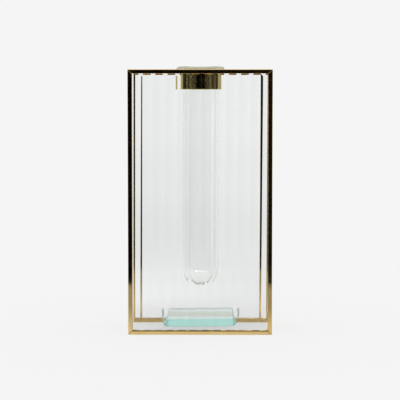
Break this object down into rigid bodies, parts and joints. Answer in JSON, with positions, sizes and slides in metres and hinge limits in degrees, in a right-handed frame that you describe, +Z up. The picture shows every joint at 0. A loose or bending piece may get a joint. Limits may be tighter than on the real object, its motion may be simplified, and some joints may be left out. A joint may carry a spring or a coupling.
{
  "type": "stem vase",
  "caption": "A fluted and a plain glass pane in mitred brass frames, joined by a glass block and a brass top plate, with a hanging glass tube that holds one flower stem.",
  "frame": {"origin": "middle of the underside, on the surface the vase stands on", "axes": "+Z up, -Y towards the viewer of the picture, +X to the right"},
  "size_m": [0.0964, 0.06, 0.1798],
  "materials": {
    "brass": "polished to a mirror, faintly handled",
    "fluted_glass": "clear, shallow upright flutes on the outer face",
    "plain_glass": "clear and flat",
    "aqua_glass": "thick float glass with rounded, ground sides",
    "tube_glass": "clear blown tube, fire-polished lip"
  },
  "bodies": {
    "frame": {"front_bottom_channel": "brass", "front_top_channel": "brass", "front_left_channel": "brass", "front_right_channel": "brass", "rear_bottom_channel": "brass", "rear_top_channel": "brass", "rear_left_channel": "brass", "rear_right_channel": "brass", "top_plate": "brass", "collar": "brass", "front_pane": "fluted_glass", "rear_pane": "plain_glass", "spacer_block": "aqua_glass"},
    "tube": {"test_tube": "tube_glass"}
  },
  "joints": [
    {"name": "tube_lift", "type": "slide", "parent": "frame", "child": "tube", "axis": [0, 0, 1], "range_m": [0, 0.155]}
  ]
}
